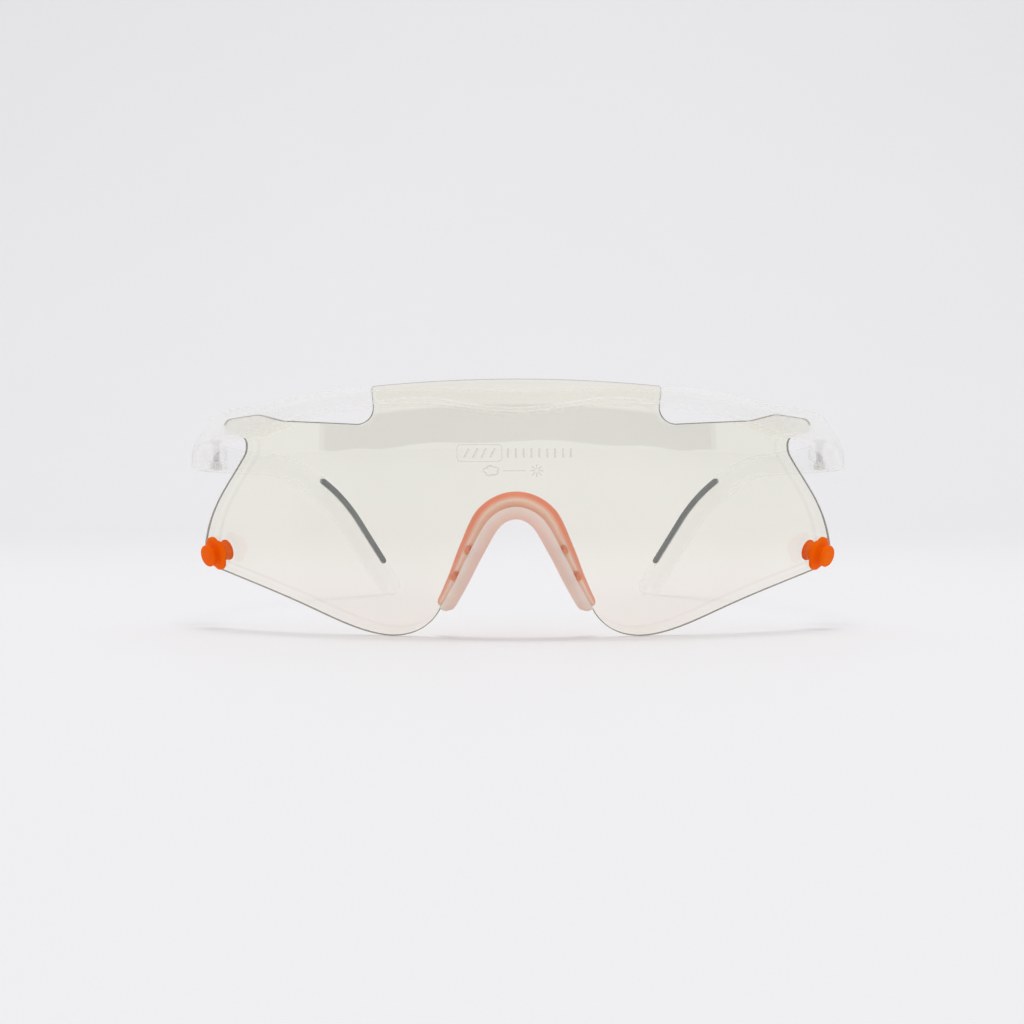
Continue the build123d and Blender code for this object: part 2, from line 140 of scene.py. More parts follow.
# ------------------------------------------------------------------ material helpers
class Nodes:
    """A short way to write a material's node tree."""

    def __init__(self, name):
        self.material = bpy.data.materials.new(name)
        self.material.use_nodes = True
        self.tree = self.material.node_tree
        self.tree.nodes.clear()
        self.out = self.tree.nodes.new("ShaderNodeOutputMaterial")

    def add(self, kind, inputs=None, **settings):
        """A node with its settings made and its inputs linked or set."""
        node = self.tree.nodes.new("ShaderNode" + kind)
        for key, value in settings.items():
            setattr(node, key, value)
        for key, value in (inputs or {}).items():
            if isinstance(value, bpy.types.NodeSocket):
                self.tree.links.new(value, node.inputs[key])
            else:
                node.inputs[key].default_value = value
        return node

    def ramp(self, factor, stops):
        """A colour ramp through (place, colour) stops."""
        node = self.add("ValToRGB", {"Fac": factor})
        ramp = node.color_ramp
        while len(ramp.elements) < len(stops):
            ramp.elements.new(0.5)
        for element, (place, colour) in zip(ramp.elements, stops):
            element.position = place
            element.color = (*colour, 1)
        return node.outputs["Color"]

    def grey_ramp(self, factor, stops):
        """A ramp through (place, value) stops."""
        return self.ramp(factor, [(place, (value,) * 3) for place, value in stops])

    def noise(self, scale, detail=3.0, roughness=0.5):
        """Noise in the object's own space, with about scale cycles to the metre."""
        place = self.add("TexCoord").outputs["Object"]
        node = self.add("TexNoise", {
            "Vector": place, "Scale": scale, "Detail": detail, "Roughness": roughness,
        })
        return node.outputs["Fac"]

    def bump(self, height, distance, strength, normal=None):
        """A bumped normal, which may build on another one; the distance is in metres."""
        inputs = {"Height": height, "Distance": distance, "Strength": strength}
        if normal is not None:
            inputs["Normal"] = normal
        return self.add("Bump", inputs).outputs["Normal"]

    def finish(self, shader):
        self.tree.links.new(shader, self.out.inputs["Surface"])
        return self.material


def clear_plastic(name, tint, face_milk, edge_milk, edge_clearness):
    """Clear moulded nylon: mostly see-through face on, milkier and dimmer edge on."""
    n = Nodes(name)
    flow = n.noise(90.0, 2.0)
    grain = n.noise(1400.0, 4.0)
    facing = n.add("LayerWeight", {"Blend": 0.35}).outputs["Facing"]
    normal = n.bump(grain, 0.00001, 0.2)
    normal = n.bump(flow, 0.0002, 0.1, normal)
    colour = n.ramp(flow, [(0.3, tint), (0.7, tuple(min(1, c * 1.03) for c in tint))])
    body = n.add("BsdfPrincipled", {
        "Base Color": colour,
        "Roughness": 0.4,
        "IOR": 1.5,
        "Coat Weight": 0.3,
        "Coat Roughness": 0.35,
        "Normal": normal,
    }).outputs["BSDF"]
    glow = n.add("BsdfTranslucent", {"Color": (*tint, 1)}).outputs["BSDF"]
    milky = n.add("MixShader", {"Fac": 0.45, 1: body, 2: glow}).outputs["Shader"]
    dimming = 1 - edge_clearness
    clearness = n.grey_ramp(facing, [
        (0.0, 1.0),
        (0.6, 1 - 0.09 * dimming),
        (0.85, 1 - 0.36 * dimming),
        (1.0, edge_clearness),
    ])
    through = n.add("BsdfTransparent", {"Color": clearness}).outputs["BSDF"]
    milk = n.grey_ramp(facing, [(0.1, face_milk), (0.75, edge_milk)])
    mixed = n.add("MixShader", {"Fac": milk, 1: through, 2: milky}).outputs["Shader"]
    return n.finish(mixed)


def lens_material(name, tint, low_tint, face_gloss, edge_gloss):
    """Polished polycarbonate whose faint tint turns warmer towards its lower edge."""
    n = Nodes(name)
    cloudy = n.noise(30.0, 2.0)
    colours = []
    for shade in (low_tint, tint):
        darker = tuple(c * 0.985 for c in shade)
        colours.append(n.ramp(cloudy, [(0.35, darker), (0.65, shade)]))
    place = n.add("TexCoord").outputs["Object"]
    height = n.add("SeparateXYZ", {"Vector": place}).outputs["Z"]
    rise = n.add("MapRange", {
        "Value": height, "From Min": 2 * MM, "From Max": 26 * MM,
    }).outputs["Result"]
    colour = n.add("MixRGB", {
        "Fac": rise, "Color1": colours[0], "Color2": colours[1],
    }).outputs["Color"]
    through = n.add("BsdfTransparent", {"Color": colour}).outputs["BSDF"]
    gloss = n.add("BsdfGlossy", {"Color": (0.98, 0.99, 0.97, 1), "Roughness": 0.03})
    facing = n.add("LayerWeight", {"Blend": 0.5}).outputs["Facing"]
    steep = n.add("Math", {0: facing, 1: 5.0}, operation="POWER").outputs[0]
    share = n.add("Math", {
        0: steep, 1: edge_gloss, 2: face_gloss,
    }, operation="MULTIPLY_ADD").outputs[0]
    mixed = n.add("MixShader", {"Fac": share, 1: through, 2: gloss.outputs["BSDF"]})
    return n.finish(mixed.outputs["Shader"])


def lens_edge_and_shade_material(name, share, dark, light):
    """A cut edge of the lens, of which a share is opaque, and less of it along the tab. In a dark
    colour this is painted shade: the dark line along a clear lens's edge, which fades towards the
    tab, where that edge shows light.
    """
    n = Nodes(name)
    streaks = n.noise(500.0, 3.0)
    colour = n.ramp(streaks, [(0.3, dark), (0.7, light)])
    body = n.add("BsdfPrincipled", {"Base Color": colour, "Roughness": 0.3})
    through = n.add("BsdfTransparent", {"Color": (0.98, 0.975, 0.95, 1)})
    place = n.add("TexCoord").outputs["Object"]
    height = n.add("SeparateXYZ", {"Vector": place}).outputs["Z"]
    opaque = n.add("MapRange", {
        "Value": height,
        "From Min": 42 * MM,
        "From Max": 46 * MM,
        "To Min": share,
        "To Max": 0.3 * share,
    }).outputs["Result"]
    mixed = n.add("MixShader", {
        "Fac": opaque, 1: through.outputs["BSDF"], 2: body.outputs["BSDF"],
    })
    return n.finish(mixed.outputs["Shader"])


def silicone_material(name):
    """Salmon silicone with a fine satin skin; its "band" attribute says how orange it is, and also
    carries some painted shade and highlights.
    """
    n = Nodes(name)
    band = n.add("Attribute", attribute_name="band").outputs["Fac"]
    grain = n.noise(2200.0, 5.0)
    patchy = n.noise(160.0, 2.0)
    colour = n.ramp(band, [
        (0.0, (0.97, 0.88, 0.82)),
        (0.2, (0.96, 0.78, 0.70)),
        (0.45, (0.93, 0.57, 0.43)),
        (0.7, (0.93, 0.42, 0.26)),
        (1.0, (0.93, 0.25, 0.08)),
    ])
    shade = n.grey_ramp(patchy, [(0.3, 0.94), (0.7, 1.0)])
    tinted = n.add("MixRGB", {
        "Fac": 1.0, "Color1": colour, "Color2": shade,
    }, blend_type="MULTIPLY").outputs["Color"]
    body = n.add("BsdfPrincipled", {
        "Base Color": tinted,
        "Roughness": 0.42,
        "Subsurface Weight": 0.5,
        "Subsurface Radius": (0.004, 0.0015, 0.0008),
        "Subsurface Scale": 1.0,
        "Normal": n.bump(grain, 0.00003, 0.5),
    }).outputs["BSDF"]
    glow = n.add("BsdfTranslucent", {"Color": tinted}).outputs["BSDF"]
    return n.finish(n.add("MixShader", {"Fac": 0.35, 1: body, 2: glow}).outputs["Shader"])


def rubber_material(name, low, high, roughness, specular, grain_scale, grain_depth):
    """Moulded rubber with a fine matt grain and a faint drift between two colours."""
    n = Nodes(name)
    drift = n.noise(120.0, 3.0)
    grain = n.noise(grain_scale, 6.0, 0.65)
    body = n.add("BsdfPrincipled", {
        "Base Color": n.ramp(drift, [(0.3, low), (0.7, high)]),
        "Roughness": roughness,
        "Specular IOR Level": specular,
        "Normal": n.bump(grain, grain_depth, 0.6),
    })
    return n.finish(body.outputs["BSDF"])


def metal_material(name, colour):
    """Turned metal with fine circular tool marks."""
    n = Nodes(name)
    place = n.add("TexCoord").outputs["Object"]
    rings = n.add("TexWave", {
        "Vector": place, "Scale": 2500.0, "Distortion": 1.5,
    }, wave_type="BANDS", bands_direction="Z").outputs["Fac"]
    low = tuple(c * 0.8 for c in colour)
    body = n.add("BsdfPrincipled", {
        "Base Color": n.ramp(rings, [(0.2, low), (0.8, colour)]),
        "Metallic": 1.0,
        "Roughness": 0.4,
        "Normal": n.bump(rings, 0.00001, 0.4),
    })
    return n.finish(body.outputs["BSDF"])


def print_material(name):
    """The faint tone of a laser mark on the lens."""
    n = Nodes(name)
    speckle = n.noise(5000.0, 2.0)
    colour = n.ramp(speckle, [(0.3, (0.42, 0.34, 0.24)), (0.7, (0.52, 0.44, 0.34))])
    body = n.add("BsdfPrincipled", {"Base Color": colour, "Roughness": 0.6})
    through = n.add("BsdfTransparent").outputs["BSDF"]
    mixed = n.add("MixShader", {"Fac": 0.13, 1: through, 2: body.outputs["BSDF"]})
    return n.finish(mixed.outputs["Shader"])


def paper_material(name, colour, warm):
    """Studio paper or card with a barely visible tone and tooth."""
    n = Nodes(name)
    tone = n.noise(2.0, 2.0)
    tooth = n.noise(900.0, 3.0)
    body = n.add("BsdfPrincipled", {
        "Base Color": n.ramp(tone, [(0.3, colour), (0.7, warm)]),
        "Roughness": 0.55,
        "Specular IOR Level": 0.25,
        "Normal": n.bump(tooth, 0.00003, 0.15),
    })
    return n.finish(body.outputs["BSDF"])


FRAME_CLEAR = clear_plastic(
    "frame_clear", (0.995, 0.985, 0.97), face_milk=0.22, edge_milk=0.42, edge_clearness=0.86,
)
TEMPLE_CLEAR = clear_plastic(
    "temple_clear", (0.985, 0.98, 0.975), face_milk=0.14, edge_milk=0.3, edge_clearness=0.74,
)
LENS_CLEAR = lens_material(
    "lens_clear", tint=(0.985, 0.981, 0.932), low_tint=(1.0, 0.97, 0.943),
    face_gloss=0.065, edge_gloss=0.9,
)
# The rim's dark brown is painted shade: it stands in for the dark line that a clear lens shows
# along its cut edge.
LENS_RIM_SHADE = lens_edge_and_shade_material(
    "lens_rim_painted_shade", share=0.8, dark=(0.075, 0.05, 0.025), light=(0.14, 0.1, 0.055),
)
LENS_WALL = lens_edge_and_shade_material(
    "lens_wall", share=0.05, dark=(0.75, 0.73, 0.68), light=(0.85, 0.83, 0.78),
)
PAD_SILICONE = silicone_material("pad_silicone")
PIN_RUBBER = rubber_material(
    "pin_rubber", (0.94, 0.105, 0.0), (1.0, 0.175, 0.0),
    roughness=0.5, specular=0.04, grain_scale=1800.0, grain_depth=0.00002,
)
GRIP_RUBBER = rubber_material(
    "grip_rubber", (0.095, 0.102, 0.112), (0.13, 0.138, 0.15),
    roughness=0.8, specular=0.3, grain_scale=2500.0, grain_depth=0.00004,
)
SCREW_STEEL = metal_material("screw_steel", (0.82, 0.82, 0.82))
INSERT_STEEL = metal_material("insert_steel", (0.88, 0.87, 0.85))
LENS_PRINT = print_material("lens_print")
PAPER = paper_material("studio_paper", (0.86, 0.85, 0.855), (0.87, 0.855, 0.86))
DARK_CARD = paper_material("dark_card", (0.04, 0.03, 0.02), (0.06, 0.045, 0.03))


# ------------------------------------------------------------------ lens
# The stretches of the lens's edge that the pad and the end pieces cover.
PAD_FOOT = Vector((14.3, 5.6))
PAD_TOP = 25.0
EAR_START, EAR_LOW, EAR_HIGH = 53.4, 38.4, 41.2

WELD_STEPS_PER_MM = 200
FACE_TOLERANCE = 0.02
RIM_STEP = 1.2
RIM_BEVEL = 0.2
# How far into the wall the painted shade of the dark edge line reaches.
DARK_LINE = 3.5 * RIM_BEVEL
GRID_STEP = 2.6
GRID_ROW_SPACING = 0.87
GRID_ROWS, GRID_COLUMNS = 23, 48
GRID_CLEARANCE = 1.0


def cad_front_loops():
    """The loops round the lens's front face, read from its CAD mesh, as points in mm."""
    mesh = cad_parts["lens"].data
    keys = [tuple(round(c / MM * WELD_STEPS_PER_MM) for c in v.co) for v in mesh.vertices]
    places = {key: Vector(v.co) / MM for key, v in zip(keys, mesh.vertices)}
    edges = {}
    for face in mesh.polygons:
        ring = [keys[k] for k in face.vertices]
        radii = [(places[key] - SPHERE_CENTRE).length for key in ring]
        if min(radii) < LENS_RADIUS - FACE_TOLERANCE:
            continue
        for a, b in zip(ring, ring[1:] + ring[:1]):
            if (b, a) in edges:
                del edges[(b, a)]
            else:
                edges[(a, b)] = True
    follow = {a: b for a, b in edges}
    loops = []
    while follow:
        start, key = next(iter(follow.items()))
        del follow[start]
        loop = [start]
        while key != start:
            loop.append(key)
            key = follow.pop(key)
        loops.append([places[k] for k in loop])
    return loops


def even_loop(loop):
    """A loop on the sphere with points added, so that no step is longer than RIM_STEP."""
    result = []
    for a, b in zip(loop, loop[1:] + loop[:1]):
        steps = max(1, math.ceil((b - a).length / RIM_STEP))
        for k in range(steps):
            point = a.lerp(b, k / steps) - SPHERE_CENTRE
            result.append(SPHERE_CENTRE + point.normalized() * LENS_RADIUS)
    return result


def flat(point):
    """The place on the plane that touches the sphere at its front, seen from its centre."""
    ray = point - SPHERE_CENTRE
    return Vector((ray.x, ray.z)) * (LENS_RADIUS / -ray.y)


def unflat(place, radius):
    """The point of a sphere about the lens's centre that flat() maps to a place."""
    ray = Vector((place[0], -LENS_RADIUS, place[1]))
    return SPHERE_CENTRE + ray.normalized() * radius


def inside(place, loops):
    """Whether a flat place lies inside an odd number of loops."""
    hit = False
    for loop in loops:
        for a, b in zip(loop, loop[1:] + loop[:1]):
            if (a.y > place.y) != (b.y > place.y):
                if place.x < a.x + (place.y - a.y) / (b.y - a.y) * (b.x - a.x):
                    hit = not hit
    return hit


def inset_loop(loop):
    """For each point: the place a bevel into the material, on its left, and the way out."""
    result = []
    for before, point, after in zip(loop[-1:] + loop[:-1], loop, loop[1:] + loop[:1]):
        normal = (point - SPHERE_CENTRE).normalized()
        along = (after - before).normalized()
        inward = normal.cross(along)
        result.append((point + inward * RIM_BEVEL, -inward))
    return result


def fill_face(rims):
    """Flat points, the rims' own first, and the triangles that fill the lens between them."""
    rim_points = [p for rim in rims for p in rim]
    edges = []
    first = 0
    for rim in rims:
        edges += [(first + k, first + (k + 1) % len(rim)) for k in range(len(rim))]
        first += len(rim)
    points = list(rim_points)
    for row in range(-GRID_ROWS, GRID_ROWS):
        for column in range(-GRID_COLUMNS, GRID_COLUMNS + 1):
            x = (column + 0.5 * (row % 2)) * GRID_STEP
            place = Vector((x, row * GRID_STEP * GRID_ROW_SPACING))
            clear = min((place - p).length for p in rim_points[::2]) > GRID_CLEARANCE
            if clear and inside(place, rims):
                points.append(place)
    result = geometry.delaunay_2d_cdt(points, edges, [], 0, 1e-6)
    flat_points, triangles = result[0], result[2]
    kept = []
    for tri in triangles:
        middle = sum((flat_points[k] for k in tri), Vector((0, 0))) / len(tri)
        if inside(middle, rims):
            kept.append(tuple(tri))
    return flat_points, kept


def make_lens():
    """The lens as a fine shell with eased edges, smooth on both spheres."""
    back = LENS_RADIUS - LENS_THICKNESS
    loops = [even_loop(loop) for loop in cad_front_loops()]
    insets = [inset_loop(loop) for loop in loops]
    flat_points, triangles = fill_face([[flat(p) for p, _ in inset] for inset in insets])
    count = len(flat_points)
    verts = [unflat(p, LENS_RADIUS) for p in flat_points]
    verts += [unflat(p, back) for p in flat_points]
    normals = [(v - SPHERE_CENTRE).normalized() for v in verts[:count]]
    normals += [(SPHERE_CENTRE - v).normalized() for v in verts[count:]]
    faces = triangles + [tuple(count + k for k in reversed(tri)) for tri in triangles]
    wall_start = len(faces)
    first = 0
    for loop, inset in zip(loops, insets):
        size = len(loop)
        wall = len(verts)
        for radius in (LENS_RADIUS - RIM_BEVEL, LENS_RADIUS - DARK_LINE, back + RIM_BEVEL):
            for point, (_, outward) in zip(loop, inset):
                ray = (point - SPHERE_CENTRE).normalized()
                verts.append(SPHERE_CENTRE + ray * radius)
                normals.append(outward)
        for k in range(size):
            j = (k + 1) % size
            rings = (first, wall, wall + size, wall + 2 * size, first + count)
            for upper, lower in zip(rings, rings[1:]):
                faces.append((upper + j, upper + k, lower + k, lower + j))
        first += size
    piece = new_object("lens_shell", verts, faces, LENS_CLEAR, "front")
    piece.data.materials.append(LENS_RIM_SHADE)
    piece.data.materials.append(LENS_WALL)
    for number, polygon in enumerate(piece.data.polygons[wall_start:]):
        place = polygon.center / MM
        under_pad = abs(place.x) < PAD_FOOT.x and PAD_FOOT.y < place.z < PAD_TOP
        in_frame = abs(place.x) > EAR_START and EAR_LOW < place.z < EAR_HIGH
        # The wall has four bands from front to back, and the first two carry the dark line, which
        # is painted shade.
        dark = number % 4 < 2 and not under_pad and not in_frame
        polygon.material_index = 1 if dark else 2
    piece.data.normals_split_custom_set_from_vertices([tuple(n) for n in normals])
    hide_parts("lens")


make_lens()


# ------------------------------------------------------------------ nose pad
# Half of the lens's arch, as (x, height), from its foot to its top.
LENS_ARCH = ((14.6, 5.1), (11.3, 10.9), (8.4, 16.5), (4.6, 22.6), (0, 24.6))
PAD_STEP = 0.6
PAD_FOOT_ROWS = 3
PAD_FOOT_SIZE = 0.25
# The corners of the pad's section, in turn: (distance from the lens's edge, away from the
# nose, depth behind the lens's front, how orange). Some tones are painted light: the deep
# orange in the groove just behind the bead is painted shade, the paler middle of the outer
# salmon band is a painted highlight, and the palest tone of the bead is partly the thin
# silicone's own colour and partly a painted highlight.
PAD_SECTION = (
    (0.45, -0.15, 0.0), (0.1, -0.5, 0.0), (-0.5, -0.45, 0.05), (-1.4, 0.2, 0.15),
    (-2.25, 1.9, 0.2), (-2.35, 3.6, 0.35), (-1.4, 5.2, 0.5), (0.4, 6.6, 0.7),
    (2.3, 7.6, 1.0), (3.4, 7.8, 1.0), (3.65, 7.0, 1.0), (2.6, 5.8, 1.0),
    (1.85, 4.9, 0.4), (1.5, 3.4, 0.2), (1.2, 2.15, 0.3), (0.3, 2.1, 0.35),
    (-0.08, 1.9, 0.8), (-0.08, 0.1, 0.1),
)
PAD_SECTION_MIDDLE_DEPTH = 3.0
PAD_FAR_MIDDLE, PAD_NOSE_MIDDLE = 1.5, -1.2
PAD_BACK_DROOP = 0.12
BEHIND_LENS = LENS_THICKNESS + 0.1
STUD_PLACES = ((9.1, 16.6), (11.7, 11.6))
# (depth behind the lens's front, radius)
STUD_PROFILE = ((-0.3, 0.2), (-0.26, 0.4), (-0.1, 0.58), (0.3, 0.62), (2.2, 0.62), (2.3, 0.4))
STUD_SIDES = 20
STUD_TONE = 0.75


def smooth_path(points, step):
    """Even points, about a step apart, on a Catmull-Rom curve through some points."""
    points = [Vector(p) for p in points]
    padded = [2 * points[0] - points[1]] + points + [2 * points[-1] - points[-2]]
    fine_steps = 20
    fine = []
    for a, b, c, d in zip(padded, padded[1:], padded[2:], padded[3:]):
        for k in range(fine_steps):
            t = k / fine_steps
            fine.append(0.5 * (2 * b + (c - a) * t + (2 * a - 5 * b + 4 * c - d) * t**2
                               + (3 * b - 3 * c + d - a) * t**3))
    fine.append(points[-1])
    lengths = [0.0]
    for a, b in zip(fine, fine[1:]):
        lengths.append(lengths[-1] + (b - a).length)
    count = max(2, round(lengths[-1] / step))
    result = []
    k = 0
    for number in range(count + 1):
        target = lengths[-1] * number / count
        while k < len(fine) - 2 and lengths[k + 1] < target:
            k += 1
        share = (target - lengths[k]) / (lengths[k + 1] - lengths[k])
        result.append(fine[k].lerp(fine[k + 1], share))
    return result


def pad_ring(path, number):
    """The pad's section at one place along the lens's arch, with its feet rounded off."""
    before = path[max(number - 1, 0)]
    after = path[min(number + 1, len(path) - 1)]
    along = (after - before).normalized()
    outward = Vector((along.y, -along.x))
    rows_to_foot = min(number, len(path) - 1 - number)
    rounding = round_end(rows_to_foot / PAD_FOOT_ROWS) * (1 - PAD_FOOT_SIZE) + PAD_FOOT_SIZE
    base = on_lens(path[number].x, path[number].y)
    narrowing = 0.5 + 0.5 * clamp((path[number].y - 7) / 15)
    normal = (base - SPHERE_CENTRE).normalized()
    ring = []
    for across, back, _ in PAD_SECTION:
        across *= narrowing if across > 0 else 1
        centre = PAD_FAR_MIDDLE * narrowing if across > 0 else PAD_NOSE_MIDDLE
        across = centre + (across - centre) * rounding
        off_middle = back - PAD_SECTION_MIDDLE_DEPTH
        back = PAD_SECTION_MIDDLE_DEPTH + off_middle * (0.5 + 0.5 * rounding)
        side = Vector((outward.x, 0, outward.y)) * across
        straight = max(0.0, back - BEHIND_LENS)
        inward = -normal * (back - straight)
        ring.append(base + side + inward + Vector((0, straight, -PAD_BACK_DROOP * straight)))
    return ring


def make_nose_pad():
    """A saddle of silicone that grips the lens's arch and flares out behind it."""
    half = [Vector(p) for p in LENS_ARCH]
    other = [Vector((-p.x, p.y)) for p in reversed(half[:-1])]
    path = smooth_path(half + other, PAD_STEP)
    rings = [pad_ring(path, number) for number in range(len(path))]
    verts, faces = loft(rings)
    faces = [tuple(reversed(face)) for face in faces]
    piece = new_object("nose_pad_saddle", verts, faces, PAD_SILICONE, "front")
    band = piece.data.attributes.new("band", "FLOAT", "POINT")
    fades = [0.7 + 0.3 * clamp((place.y - 8) / 14) for place in path]
    band.data.foreach_set("value", [tone * fade for fade in fades for _, _, tone in PAD_SECTION])
    add_modifier(piece, "SUBSURF", levels=2, render_levels=2)
    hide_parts("nose_pad")


def make_pad_studs():
    """The pad's studs, which fill the notches in the lens and show on its front."""
    turns = [2 * math.pi * k / STUD_SIDES for k in range(STUD_SIDES)]
    verts, faces = [], []
    for x, z in STUD_PLACES:
        for sign in SIDES.values():
            place = lens_plane(sign * x, z)
            rings = []
            for back, radius in STUD_PROFILE:
                rings.append([
                    place @ Vector((radius * math.cos(t), radius * math.sin(t), -back))
                    for t in turns
                ])
            some_verts, some_faces = loft(rings)
            faces += [tuple(len(verts) + k for k in reversed(face)) for face in some_faces]
            verts += some_verts
    piece = new_object("nose_pad_studs", verts, faces, PAD_SILICONE, "front")
    band = piece.data.attributes.new("band", "FLOAT", "POINT")
    band.data.foreach_set("value", [STUD_TONE] * len(verts))


make_nose_pad()
make_pad_studs()


# ------------------------------------------------------------------ lens pins
PIN_PLACE = (61.0, 15.6)
PIN_LOBE_OFFSET = 1.3
PIN_LOBE_RADIUS = 2.2
PIN_TURN = -20
PIN_SIDES = 72
# From the foot to the head: (height above the lens's front, radius, share of the clover's
# reach), where a ring has either a radius or a share.
PIN_RINGS = (
    (-2.42, 1.2, 0), (-2.4, 1.9, 0), (-2.28, 2.16, 0), (-2.15, 2.15, 0), (-2.08, 1.95, 0),
    (0.06, 1.95, 0), (0.06, 0, 0.92), (0.16, 0, 1.0), (0.7, 0, 1.0), (0.88, 0, 0.93),
    (0.96, 0, 0.78), (0.97, 1.7, 0), (1.1, 1.6, 0), (1.85, 1.6, 0), (1.93, 2.0, 0),
    (2.03, 2.2, 0), (2.5, 2.24, 0), (2.71, 2.1, 0), (2.83, 1.8, 0), (2.79, 0.9, 0),
)


def clover(angle):
    """The reach of four overlapping circles, one of them at angle 0."""
    turn = (angle + math.pi / 4) % (math.pi / 2) - math.pi / 4
    across = PIN_LOBE_OFFSET * math.sin(turn)
    return PIN_LOBE_OFFSET * math.cos(turn) + math.sqrt(PIN_LOBE_RADIUS**2 - across**2)


def make_pin(side):
    """A rubber rivet with a clover flange under its round head."""
    place = lens_plane(SIDES[side] * PIN_PLACE[0], PIN_PLACE[1])
    turn = math.radians(PIN_TURN * SIDES[side])
    rings = []
    for height, radius, lobed in PIN_RINGS:
        ring = []
        for k in range(PIN_SIDES):
            angle = 2 * math.pi * k / PIN_SIDES
            reach = lobed * clover(angle - turn) if lobed else radius
            ring.append(place @ Vector((reach * math.cos(angle), reach * math.sin(angle), height)))
        rings.append(ring)
    verts, faces = loft(rings)
    piece = new_object(f"rivet_{side}", verts, faces, PIN_RUBBER, "front")
    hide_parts(f"lens_pin_{side}")


for side in SIDES:
    make_pin(side)


# ------------------------------------------------------------------ temple grips
BOW_ANGLE = math.radians(25.0)
BOW_END = (55.2, 120.3)
HOOK_START = 95.8
HOOK_RADIUS = 57.0
HOOK_ANGLE = math.radians(43.0)
HOOK_END = HOOK_START + HOOK_RADIUS * math.sin(HOOK_ANGLE)
TEMPLE_MIDLINE = 35.6
GRIP_ENDS = (118.3, 148.3)
GRIP_RISE = 1.3
GRIP_INSET = 3.15
GRIP_THICKNESS, GRIP_WIDTH = 1.5, 1.38
GRIP_ROWS = 150
GRIP_END_ROWS = 4
RIB_PITCH = 1.1
RIB_HEIGHT = 0.1


def hook_drop(depth):
    """How far the temple's midline has dropped at a depth, in its hook."""
    turned = min(depth, HOOK_END) - HOOK_START
    drop = HOOK_RADIUS - math.sqrt(HOOK_RADIUS**2 - turned**2)
    return drop + max(0.0, depth - HOOK_END) * math.tan(HOOK_ANGLE)


def grip_centre(depth):
    """A point of the left grip's middle line, GRIP_INSET from the temple's outer face."""
    face_x = BOW_END[0] - (depth - BOW_END[1]) * math.tan(BOW_ANGLE)
    x = face_x - GRIP_INSET / math.cos(BOW_ANGLE)
    slope = (hook_drop(depth + 0.1) - hook_drop(depth - 0.1)) / 0.2
    rise = GRIP_RISE * math.sqrt(1 + slope * slope)
    return at(x, depth, TEMPLE_MIDLINE - hook_drop(depth) + rise)


def make_grip(side):
    """A soft strip with fine cross ribs, let into the inner face of the hook."""
    inward = Vector((-math.cos(BOW_ANGLE), -math.sin(BOW_ANGLE), 0))
    section = rounded_section(GRIP_THICKNESS, GRIP_WIDTH, count=24, power=3.5)
    start, end = GRIP_ENDS
    rings = []
    for k in range(GRIP_ROWS + 1):
        depth = start + (end - start) * k / GRIP_ROWS
        along = (grip_centre(depth + 0.1) - grip_centre(depth - 0.1)).normalized()
        height = along.cross(inward).normalized()
        rib = RIB_HEIGHT * (0.5 + 0.5 * math.cos(2 * math.pi * (depth - start) / RIB_PITCH))
        size = round_end(min(k, GRIP_ROWS - k) / GRIP_END_ROWS, least=0.2)
        ring = []
        for across, up in section:
            reach = across * size + (rib * size if across > 0 else 0)
            point = grip_centre(depth) + inward * reach + height * up * size
            point.x *= SIDES[side]
            ring.append(point)
        rings.append(ring)
    verts, faces = loft(rings)
    if SIDES[side] > 0:
        faces = [tuple(reversed(face)) for face in faces]
    piece = new_object(f"grip_{side}", verts, faces, GRIP_RUBBER, BODIES[side])
    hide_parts(f"temple_grip_{side}")


for side in SIDES:
    make_grip(side)


# ------------------------------------------------------------------ lens marks
PRINT_LOW, PRINT_HIGH = LENS_RADIUS + 0.01, LENS_RADIUS + 0.03
BAR_LOW, BAR_HIGH = 33.9, 35.6
SYMBOL_HEIGHT = 31.5


def ribbon(path, width, closed):
    """Points and faces of a thin flat strip on the lens along a front-view path."""
    rings = []
    for k, point in enumerate(path):
        before = path[k - 1] if closed or k else point
        after = path[(k + 1) % len(path)] if closed or k < len(path) - 1 else point
        along = (after - before).normalized() * (width / 2)
        left, right = point + Vector((-along.y, along.x)), point - Vector((-along.y, along.x))
        rings.append([
            on_lens(*left, PRINT_LOW), on_lens(*right, PRINT_LOW),
            on_lens(*right, PRINT_HIGH), on_lens(*left, PRINT_HIGH),
        ])
    verts, faces = loft(rings, closed_ends=not closed)
    if closed:
        last = len(verts) - 4
        faces += [(last + k, last + (k + 1) % 4, (k + 1) % 4, k) for k in range(4)]
    return verts, faces


def capsule_path(left, right, low, high, corner):
    """A rectangle with round corners."""
    corner_steps = 5
    path = []
    corners = ((right - corner, high - corner, 0), (left + corner, high - corner, 90),
               (left + corner, low + corner, 180), (right - corner, low + corner, 270))
    for x, z, start in corners:
        for k in range(corner_steps + 1):
            angle = math.radians(start + 90 * k / corner_steps)
            path.append(Vector((x + corner * math.cos(angle), z + corner * math.sin(angle))))
    return path


def cloud_path(x, z, width):
    """A flat oval with five soft bumps."""
    steps = 40
    path = []
    for k in range(steps):
        angle = 2 * math.pi * k / steps
        reach = width / 2 * (0.8 + 0.2 * abs(math.sin(2.5 * angle + 0.4)))
        path.append(Vector((x + reach * math.cos(angle), z + 0.62 * reach * math.sin(angle))))
    return path


